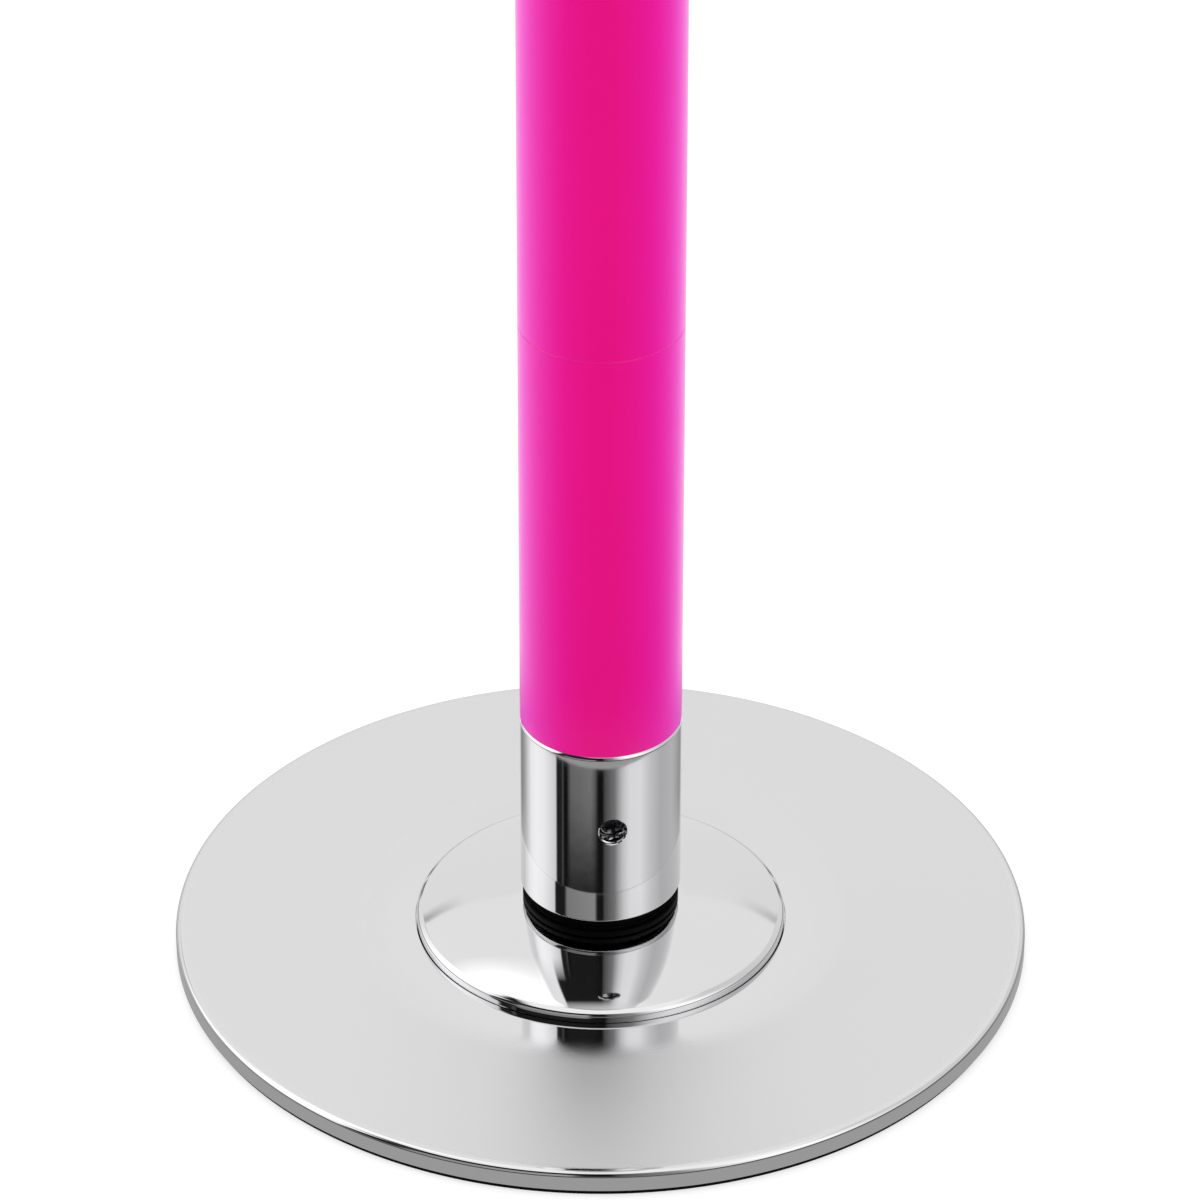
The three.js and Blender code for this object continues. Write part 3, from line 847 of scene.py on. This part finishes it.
class DANCE_POLE_OT_collar(bpy.types.Operator):
    """Add the chromed collar with its two threaded holes"""

    bl_idname = "dance_pole.collar"
    bl_label = "Collar"

    def execute(self, context):
        bottom, neck_top = low("base_collar").z, high("base_collar").z
        top = low("extension_sleeve").z - SEAT
        steady_seat = low("steady_bearing_outer_race").z - SEAT
        thrust_seat = high("thrust_bearing_outer_race").z + SEAT
        steady_radius, chamfer, lead = 16.2 * MM, 0.8 * MM, 1 * MM
        outline = [
            (SEAT_RADIUS, bottom),
            (POLE_RADIUS - chamfer, bottom),
            (POLE_RADIUS, bottom + chamfer),
            (POLE_RADIUS, top - chamfer),
            (POLE_RADIUS - chamfer, top),
            (SPIGOT_RADIUS, top),
            (SPIGOT_RADIUS, neck_top - lead),
            (SPIGOT_RADIUS - lead, neck_top),
            (steady_radius, neck_top),
            (steady_radius, steady_seat),
            (WEB_RADIUS, steady_seat),
            (WEB_RADIUS, thrust_seat),
            (SEAT_RADIUS, thrust_seat),
        ]
        piece = turn("chromed_base_collar", outline)
        break_edges(piece, shapes().edge_break)
        middle = (low("grub_screw_1") + high("grub_screw_1")) / 2
        tools = []
        for angle in (SCREW_ANGLE, SCREW_ANGLE + math.pi):
            tool = turn("tap", self.hole(), SMALL_SIDES)
            aim(tool, angle, middle.z)
            tools.append(tool)
        combine(piece, tools, "DIFFERENCE")
        finish_piece(piece, "base_collar", "chrome")
        return {"FINISHED"}

    def hole(self):
        """Outline of a tapped hole: a chamfered mouth over grooves at the screw's pitch."""
        pitch = shapes().grub_pitch
        crest, root, rim = 3.75 * MM, 4.15 * MM, 4.45 * MM
        start, end = WEB_RADIUS - OVERRUN, POLE_RADIUS
        mouth = end - 0.55 * MM
        outline = [(0, start), (crest, start)]
        level = start + pitch
        while level + pitch < mouth:
            outline += [(crest, level), (root, level + pitch / 2)]
            level += pitch
        # The mouth widens out of the thread and through the collar's round side.
        outline += [
            (crest, mouth - FIT),
            (4.05 * MM, mouth),
            (4.2 * MM, end - 0.12 * MM),
            (rim, end + 0.15 * MM),
            (rim, end + OVERRUN),
            (0, end + OVERRUN),
        ]
        return outline


class DANCE_POLE_OT_grub_screws(bpy.types.Operator):
    """Add the threaded socket grub screws sunk in the collar"""

    bl_idname = "dance_pole.grub_screws"
    bl_label = "Grub screws"

    def execute(self, context):
        outer, inner = 18.7 * MM, 8.7 * MM
        crest, root, chamfer = 3.7 * MM, 3.1 * MM, 0.7 * MM
        socket, funnel = 4 * MM, outer - 1.1 * MM
        for number, angle in ((1, SCREW_ANGLE), (2, SCREW_ANGLE + math.pi)):
            node = f"grub_screw_{number}"
            level = (low(node).z + high(node).z) / 2
            piece = thread("blackened_" + node, crest, root, shapes().grub_pitch, inner, outer)
            ends = [
                (0, inner),
                (crest - chamfer, inner),
                (crest, inner + chamfer),
                (crest, outer - chamfer),
                (crest - chamfer, outer),
                (0, outer),
            ]
            combine(piece, [turn("rounded_ends", ends, SMALL_SIDES)], "INTERSECT", "MANIFOLD")
            mouth = [
                (0, funnel),
                (1.7 * MM, funnel),
                (2.8 * MM + OVERRUN, outer + OVERRUN),
                (0, outer + OVERRUN),
            ]
            tools = [
                hexagon("socket", socket, outer - socket, outer + OVERRUN),
                turn("mouth", mouth, SMALL_SIDES),
            ]
            combine(piece, tools, "DIFFERENCE", "MANIFOLD")
            aim(piece, angle, level)
            finish_piece(piece, node, "black_oxide")
        return {"FINISHED"}


class DANCE_POLE_OT_sleeves(bpy.types.Operator):
    """Add the pink silicone sleeves of the three pole sections"""

    bl_idname = "dance_pole.sleeves"
    bl_label = "Sleeves"

    def execute(self, context):
        wall = 1.5 * MM
        reach = 0.14 * MM  # past each end of the solid, so that a seam shows no gap
        for section in ("extension", "lower", "upper"):
            node = section + "_sleeve"
            bottom, top = low(node).z - reach, high(node).z + reach
            outline = [
                (POLE_RADIUS - wall, bottom),
                (POLE_RADIUS, bottom),
                (POLE_RADIUS, top),
                (POLE_RADIUS - wall, top),
            ]
            piece = turn("silicone_" + node, outline)
            break_edges(piece, shapes().sleeve_edge, 4)
            finish_piece(piece, node, "silicone")
            # The chrome in the photograph doesn't mirror the pole.
            piece.visible_glossy = False
            frame["nodes"][section + "_tube"].visible_glossy = False
        return {"FINISHED"}


class DANCE_POLE_OT_cap(bpy.types.Operator):
    """Add the chromed cap of the upper tube and its guide screw"""

    bl_idname = "dance_pole.cap"
    bl_label = "Cap"

    def execute(self, context):
        neck_bottom, top = low("tube_cap").z, high("tube_cap").z
        bottom = high("upper_sleeve").z + SEAT
        chamfer = 1 * MM
        level = (bottom + top) / 2
        screw_radius, inner, outer = 3 * MM, 9.7 * MM, POLE_RADIUS - 1.2 * MM
        socket = 3 * MM
        outline = [
            (JACK_BORE, neck_bottom),
            (SPIGOT_RADIUS - chamfer, neck_bottom),
            (SPIGOT_RADIUS, neck_bottom + chamfer),
            (SPIGOT_RADIUS, bottom),
            (POLE_RADIUS, bottom),
            (POLE_RADIUS, top - chamfer),
            (POLE_RADIUS - chamfer, top),
            (JACK_BORE, top),
        ]
        piece = turn("chromed_tube_cap", outline)
        break_edges(piece, shapes().edge_break)
        hole = rod("guide_hole", screw_radius + FIT, inner + SEAT, POLE_RADIUS + OVERRUN)
        aim(hole, SCREW_ANGLE, level)
        combine(piece, [hole], "DIFFERENCE")
        finish_piece(piece, "tube_cap", "chrome")
        screw = rod("blackened_guide_screw", screw_radius, inner, outer)
        break_edges(screw, 0.4 * MM, 2)
        combine(screw, [hexagon("socket", socket, outer - socket, outer + OVERRUN)], "DIFFERENCE")
        aim(screw, SCREW_ANGLE, level)
        finish_piece(screw, "guide_screw", "black_oxide")
        return {"FINISHED"}


class DANCE_POLE_OT_nut(bpy.types.Operator):
    """Add the chromed hexagon nut that is turned by hand or with a spanner"""

    bl_idname = "dance_pole.nut"
    bl_label = "Nut"

    def execute(self, context):
        bottom, top = low("adjuster_nut").z, high("adjuster_nut").z
        flat = high("adjuster_nut").x
        corner = flat / math.cos(math.pi / 6)
        drop = (corner - flat) * math.tan(math.pi / 6)
        mouth = 0.6 * MM
        outline = [
            (JACK_BORE + mouth, bottom),
            (flat, bottom),
            (corner, bottom + drop),
            (corner, top - drop),
            (flat, top),
            (JACK_BORE + mouth, top),
            (JACK_BORE, top - mouth),
            (JACK_BORE, bottom + mouth),
        ]
        piece = turn("chromed_adjuster_nut", outline)
        bar = hexagon("hexagon_bar", 2 * flat, bottom - OVERRUN, top + OVERRUN)
        bar.rotation_euler.z = math.pi / 2
        pick(bar)
        bpy.ops.object.transform_apply(location=False, rotation=True, scale=False)
        combine(piece, [bar], "INTERSECT")
        break_edges(piece, 0.3 * MM)
        finish_piece(piece, "adjuster_nut", "chrome")
        return {"FINISHED"}


class DANCE_POLE_OT_jack(bpy.types.Operator):
    """Add the jack screw with its thread and keyway, the chromed head and the pin between them"""

    bl_idname = "dance_pole.jack"
    bl_label = "Jack"

    def execute(self, context):
        self.add_screw()
        self.add_head()
        pin = rod("steel_head_pin", PIN_RADIUS, low("head_pin").x, high("head_pin").x)
        break_edges(pin, 0.5 * MM)
        aim(pin, 0, self.pin_level())
        finish_piece(pin, "head_pin", "steel")
        return {"FINISHED"}

    def pin_level(self):
        return (low("head_pin").z + high("head_pin").z) / 2

    def pin_hole(self):
        hole = rod("pin_hole", PIN_RADIUS + FIT, -POLE_RADIUS - OVERRUN, POLE_RADIUS + OVERRUN)
        aim(hole, 0, self.pin_level())
        return hole

    def add_screw(self):
        bottom, top = low("jack_screw").z, high("jack_screw").z
        shoulder = high("adjuster_nut").z
        crest, root, neck, chamfer = 12 * MM, 9.7 * MM, 9 * MM, 2 * MM
        piece = thread("steel_jack_screw", crest, root, shapes().jack_pitch, bottom, top)
        blank = [
            (0, bottom),
            (crest - chamfer, bottom),
            (crest, bottom + chamfer),
            (crest, shoulder),
            (neck, shoulder),
            (neck, top),
            (0, top),
        ]
        combine(piece, [turn("blank", blank, SMALL_SIDES)], "INTERSECT")
        keyway_top = low("adjuster_nut").z
        floor, width, height = 9.4 * MM, 6.6 * MM, keyway_top - bottom + OVERRUN
        depth = crest + OVERRUN - floor
        bpy.ops.object.select_all(action="DESELECT")
        middle = (floor + depth / 2, 0, keyway_top - height / 2)
        bpy.ops.mesh.primitive_cube_add(size=1, location=middle)
        slot = bpy.context.object
        slot.scale = (depth, width, height)
        bpy.ops.object.transform_apply()
        slot.rotation_euler.z = SCREW_ANGLE
        bpy.ops.object.transform_apply(location=False, rotation=True, scale=False)
        combine(piece, [slot, self.pin_hole()], "DIFFERENCE", "MANIFOLD")
        finish_piece(piece, "jack_screw", "steel")

    def add_head(self):
        bottom, top = low("jack_head").z, high("jack_head").z
        cup_floor = high("jack_screw").z + SEAT
        shoulder = low("ceiling_bearing_outer_race").z - SEAT
        neck, chamfer = 9.2 * MM, 0.8 * MM
        outline = [
            (neck, bottom),
            (POLE_RADIUS - chamfer, bottom),
            (POLE_RADIUS, bottom + chamfer),
            (POLE_RADIUS, top - chamfer),
            (POLE_RADIUS - chamfer, top),
            (SEAT_RADIUS, top),
            (SEAT_RADIUS, shoulder),
            (WEB_RADIUS, shoulder),
            (WEB_RADIUS, cup_floor),
            (neck, cup_floor),
        ]
        piece = turn("chromed_jack_head", outline)
        break_edges(piece, shapes().edge_break)
        combine(piece, [self.pin_hole()], "DIFFERENCE")
        finish_piece(piece, "jack_head", "chrome")


class DANCE_POLE_OT_hidden_steel(bpy.types.Operator):
    """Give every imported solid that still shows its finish"""

    bl_idname = "dance_pole.hidden_steel"
    bl_label = "Steel inside"

    def execute(self, context):
        slots = {row["node"]: row["material_slot"] for row in frame["record"]["subparts"]}
        for name, solid in frame["nodes"].items():
            if solid.hide_render:
                continue
            for place in solid.material_slots:
                place.link = "OBJECT"
                place.material = finish_named(slots[name])
        return {"FINISHED"}


CARD_PEAK = 2.0  # level at which a ramp's colour is white
# Softboxes and flags round the pole: degrees to the right of the camera, and level.
LEFT_BOX = (
    (-139, 0.6), (-118, 1.6), (-105, 1.75), (-89, 1.66), (-72, 1.31), (-67.5, 1.2), (-65.5, 0.02),
)
RIGHT_BOX = (
    (3, 0.01), (5, 0.1), (20, 0.33), (32, 1.05), (42, 1.38), (58, 1.42), (75, 1.06), (95, 0.81),
    (122, 0.87), (135, 0.7), (153, 0.45),
)
LOW_CARDS = (
    (-180, 1.0), (-154, 1.0), (-139, 1.0), *LEFT_BOX[1:], (-51, 0.02), (-47, 0.36), (-8, 0.46),
    (-5, 0.02), *RIGHT_BOX[:-2], (153, 0.95), (180, 1.0),
)
MIDDLE_CARDS = (
    (-180, 1.0), (-168, 1.0), (-154, 0.34), *LEFT_BOX, (-57, 0.03), (-55.8, 0.16), (-54, 0.01),
    (-49, 0.01), (-43, 0.26), (-14, 0.34), (-8, 0.2), (-4, 0.01), *RIGHT_BOX, (168, 1.0),
    (180, 1.0),
)
HIGH_CARDS = (
    (-180, 1.04), (-130, 1.1), *LEFT_BOX[1:], (-57, 0.03), (-55.8, 0.16), (-54, 0.01), (-46, 0.02),
    (-10, 0.02), *RIGHT_BOX[:-2], (150, 1.04), (180, 1.04),
)
LAMP_CARDS = (
    (-180, 1.15), (-172, 1.3), (-164, 1.7), (-140, 1.7), (-125, 1.3), (-89, 1.5), (-84, 0.02),
    (-10, 0.02), *RIGHT_BOX[:-2], (150, 1.04), (168, 1.05), (180, 1.15),
)
OVERHEAD_CARDS = ((-180, 1.2), (180, 1.2))
HORIZON_CARDS = ((-180, 0.3), (180, 0.3))
# Each ring takes over from the one below between its first and second elevation, in degrees.
RINGS = (
    (-90, -90, HORIZON_CARDS),
    (5, 8, LOW_CARDS),
    (31.8, 33.6, MIDDLE_CARDS),
    (34.2, 35.1, HIGH_CARDS),
    (46, 53, LAMP_CARDS),
    (61, 65, OVERHEAD_CARDS),
)


class DANCE_POLE_OT_stage(bpy.types.Operator):
    """Add the camera, the pale floor and the soft studio round the pole"""

    bl_idname = "dance_pole.stage"
    bl_label = "Studio"

    def execute(self, context):
        studio = context.scene.dance_pole_studio
        self.add_camera(studio)
        self.add_floor()
        self.light_world(studio)
        context.scene.view_settings.view_transform = "Standard"
        return {"FINISHED"}

    def add_camera(self, studio):
        bpy.ops.object.camera_add(location=(studio.aside, -studio.distance, studio.height))
        camera = bpy.context.object
        camera.name = "photographer_camera"
        camera.rotation_mode = "QUATERNION"
        down = Quaternion((1, 0, 0), math.pi / 2 - studio.tilt)
        camera.rotation_quaternion = down @ Quaternion((0, 0, 1), studio.roll)
        camera.data.lens = studio.lens
        camera.data.sensor_width = 36
        camera.data.clip_start = 0.05
        camera.data.clip_end = 60
        bpy.context.scene.camera = camera

    def add_floor(self):
        bpy.ops.object.select_all(action="DESELECT")
        bpy.ops.mesh.primitive_circle_add(vertices=64, radius=30, fill_type="NGON")
        floor = bpy.context.object
        floor.name = "studio_floor"
        material, tree, place = start_material("painted_studio_floor")
        path = add_node(tree, "ShaderNodeLightPath")
        paint = add_node(tree, "ShaderNodeBsdfDiffuse", {"Color": (0.9, 0.9, 0.9, 1)})
        seen_paint = add_node(tree, "ShaderNodeBsdfDiffuse", {"Color": (0.5, 0.5, 0.5, 1)})
        lift = add_node(tree, "ShaderNodeEmission", {"Color": WHITE, "Strength": FLOOR_LIFT})
        seen = add_node(tree, "ShaderNodeAddShader", {0: seen_paint.outputs[0], 1: lift.outputs[0]})
        # Painted shade: beyond the plate, mirror rays see the floor's glow fall off towards the
        # camera's side; close round the plate they see a painted shadow of one level.
        radius = add_node(tree, "ShaderNodeVectorMath", {0: place}, operation="LENGTH")
        far = add_node(
            tree,
            "ShaderNodeMapRange",
            {"Value": radius.outputs["Value"], "From Min": 130 * MM, "From Max": 160 * MM},
        )
        parts = add_node(tree, "ShaderNodeSeparateXYZ", {0: place})
        off = add_node(
            tree,
            "ShaderNodeMath",
            {0: self.azimuth(tree, parts), 1: math.radians(11)},
            operation="SUBTRACT",
        )
        side = add_node(tree, "ShaderNodeMath", {0: off.outputs[0]}, operation="ABSOLUTE")
        bright = add_node(
            tree,
            "ShaderNodeMapRange",
            {
                "Value": side.outputs[0],
                "From Min": math.radians(50),
                "From Max": math.radians(140),
                "To Min": 0.02,
                "To Max": 1.1,
            },
            interpolation_type="SMOOTHSTEP",
        )
        shade = add_node(
            tree,
            "ShaderNodeEmission",
            {"Color": WHITE, "Strength": bright.outputs["Result"]},
        )
        # Painted shadow of the floor round the plate's foot, for mirror rays.
        foot = add_node(tree, "ShaderNodeEmission", {"Color": WHITE, "Strength": PAINTED_PLATE_SHADOW})
        painted_shade_in_mirrors = add_node(
            tree,
            "ShaderNodeMixShader",
            {0: far.outputs["Result"], 1: foot.outputs[0], 2: shade.outputs[0]},
        )
        glossy = add_node(
            tree,
            "ShaderNodeMixShader",
            {0: path.outputs["Is Glossy Ray"], 1: paint.outputs[0], 2: painted_shade_in_mirrors.outputs[0]},
        )
        final = add_node(
            tree,
            "ShaderNodeMixShader",
            {0: path.outputs["Is Camera Ray"], 1: glossy.outputs[0], 2: seen.outputs[0]},
        )
        add_node(tree, "ShaderNodeOutputMaterial", {"Surface": final.outputs[0]})
        floor.data.materials.append(material)

    def light_world(self, studio):
        world = bpy.data.worlds.new("soft_studio")
        bpy.context.scene.world = world
        world.use_nodes = True
        tree = world.node_tree
        tree.nodes.clear()
        path = add_node(tree, "ShaderNodeLightPath")
        direction = add_node(tree, "ShaderNodeTexCoord").outputs["Generated"]
        parts = add_node(tree, "ShaderNodeSeparateXYZ", {0: direction})
        around = add_node(
            tree,
            "ShaderNodeMapRange",
            {"Value": self.azimuth(tree, parts), "From Min": -math.pi, "From Max": math.pi},
        )
        height = add_node(tree, "ShaderNodeMath", {0: parts.outputs["Z"]}, operation="ARCSINE")
        light = self.hang_cards(tree, around.outputs["Result"], RINGS[0][2])
        for start, end, cards in RINGS[1:]:
            above = add_node(
                tree,
                "ShaderNodeMapRange",
                {
                    "Value": height.outputs[0],
                    "From Min": math.radians(start),
                    "From Max": math.radians(end),
                },
            )
            ring = self.hang_cards(tree, around.outputs["Result"], cards)
            light = add_node(
                tree,
                "ShaderNodeMix",
                {0: above.outputs["Result"], 2: light, 3: ring},
                data_type="FLOAT",
            ).outputs[0]
        lit = add_node(
            tree,
            "ShaderNodeMath",
            {0: light, 1: CARD_PEAK * studio.level},
            operation="MULTIPLY",
        )
        # Matt surfaces are lit at one plain level, so that a colour renders about as it is written.
        soft = add_node(
            tree,
            "ShaderNodeMix",
            {0: path.outputs["Is Diffuse Ray"], 2: lit.outputs[0], 3: MATT_LEVEL * studio.level},
            data_type="FLOAT",
        )
        strength = add_node(
            tree,
            "ShaderNodeMix",
            {0: path.outputs["Is Camera Ray"], 2: soft.outputs[0], 3: 1.0},
            data_type="FLOAT",
        )
        background = add_node(
            tree,
            "ShaderNodeBackground",
            {"Color": WHITE, "Strength": strength.outputs[0]},
        )
        add_node(tree, "ShaderNodeOutputWorld", {"Surface": background.outputs[0]})

    def azimuth(self, tree, parts):
        """The turn of a point or direction round the pole: 0 in front, and rising to the right."""
        front = add_node(
            tree,
            "ShaderNodeMath",
            {0: parts.outputs["Y"], 1: -1.0},
            operation="MULTIPLY",
        )
        turned = add_node(
            tree,
            "ShaderNodeMath",
            {0: parts.outputs["X"], 1: front.outputs[0]},
            operation="ARCTAN2",
        )
        return turned.outputs[0]

    def hang_cards(self, tree, around, cards):
        """A ring of softboxes and black flags, as a ramp over the turn from behind and back."""
        ring = add_node(tree, "ShaderNodeValToRGB", {0: around})
        ramp = ring.color_ramp
        ramp.elements.remove(ramp.elements[-1])
        for number, (azimuth, level) in enumerate(cards):
            place = azimuth / 360 + 0.5
            stop = ramp.elements[0] if number == 0 else ramp.elements.new(place)
            stop.position = place
            share = level / CARD_PEAK
            stop.color = (share, share, share, 1)
        return ring.outputs["Color"]


class DANCE_POLE_PT_panel(bpy.types.Panel):
    """Lists the pieces of the dance pole"""

    bl_idname = "DANCE_POLE_PT_panel"
    bl_label = "Dance pole"
    bl_space_type = "VIEW_3D"
    bl_region_type = "UI"
    bl_category = "Dance pole"

    def draw(self, context):
        for operator in OPERATORS:
            self.layout.operator(operator.bl_idname)


OPERATORS = (
    DANCE_POLE_OT_pads,
    DANCE_POLE_OT_plates,
    DANCE_POLE_OT_discs,
    DANCE_POLE_OT_seals,
    DANCE_POLE_OT_collar,
    DANCE_POLE_OT_grub_screws,
    DANCE_POLE_OT_sleeves,
    DANCE_POLE_OT_cap,
    DANCE_POLE_OT_nut,
    DANCE_POLE_OT_jack,
    DANCE_POLE_OT_hidden_steel,
    DANCE_POLE_OT_stage,
)
GROUPS = (DancePoleShapes, DancePoleFinishes, DancePoleStudio)


def register():
    for kind in (*GROUPS, *OPERATORS, DANCE_POLE_PT_panel):
        bpy.utils.register_class(kind)
    bpy.types.Scene.dance_pole_shapes = bpy.props.PointerProperty(type=DancePoleShapes)
    bpy.types.Scene.dance_pole_finishes = bpy.props.PointerProperty(type=DancePoleFinishes)
    bpy.types.Scene.dance_pole_studio = bpy.props.PointerProperty(type=DancePoleStudio)


def unregister():
    del bpy.types.Scene.dance_pole_studio
    del bpy.types.Scene.dance_pole_finishes
    del bpy.types.Scene.dance_pole_shapes
    for kind in reversed((*GROUPS, *OPERATORS, DANCE_POLE_PT_panel)):
        bpy.utils.unregister_class(kind)


def main():
    register()
    bpy.ops.dance_pole.pads()
    bpy.ops.dance_pole.plates()
    bpy.ops.dance_pole.discs()
    bpy.ops.dance_pole.seals()
    bpy.ops.dance_pole.collar()
    bpy.ops.dance_pole.grub_screws()
    bpy.ops.dance_pole.sleeves()
    bpy.ops.dance_pole.cap()
    bpy.ops.dance_pole.nut()
    bpy.ops.dance_pole.jack()
    bpy.ops.dance_pole.hidden_steel()
    bpy.ops.dance_pole.stage()


if __name__ == "__main__":
    main()
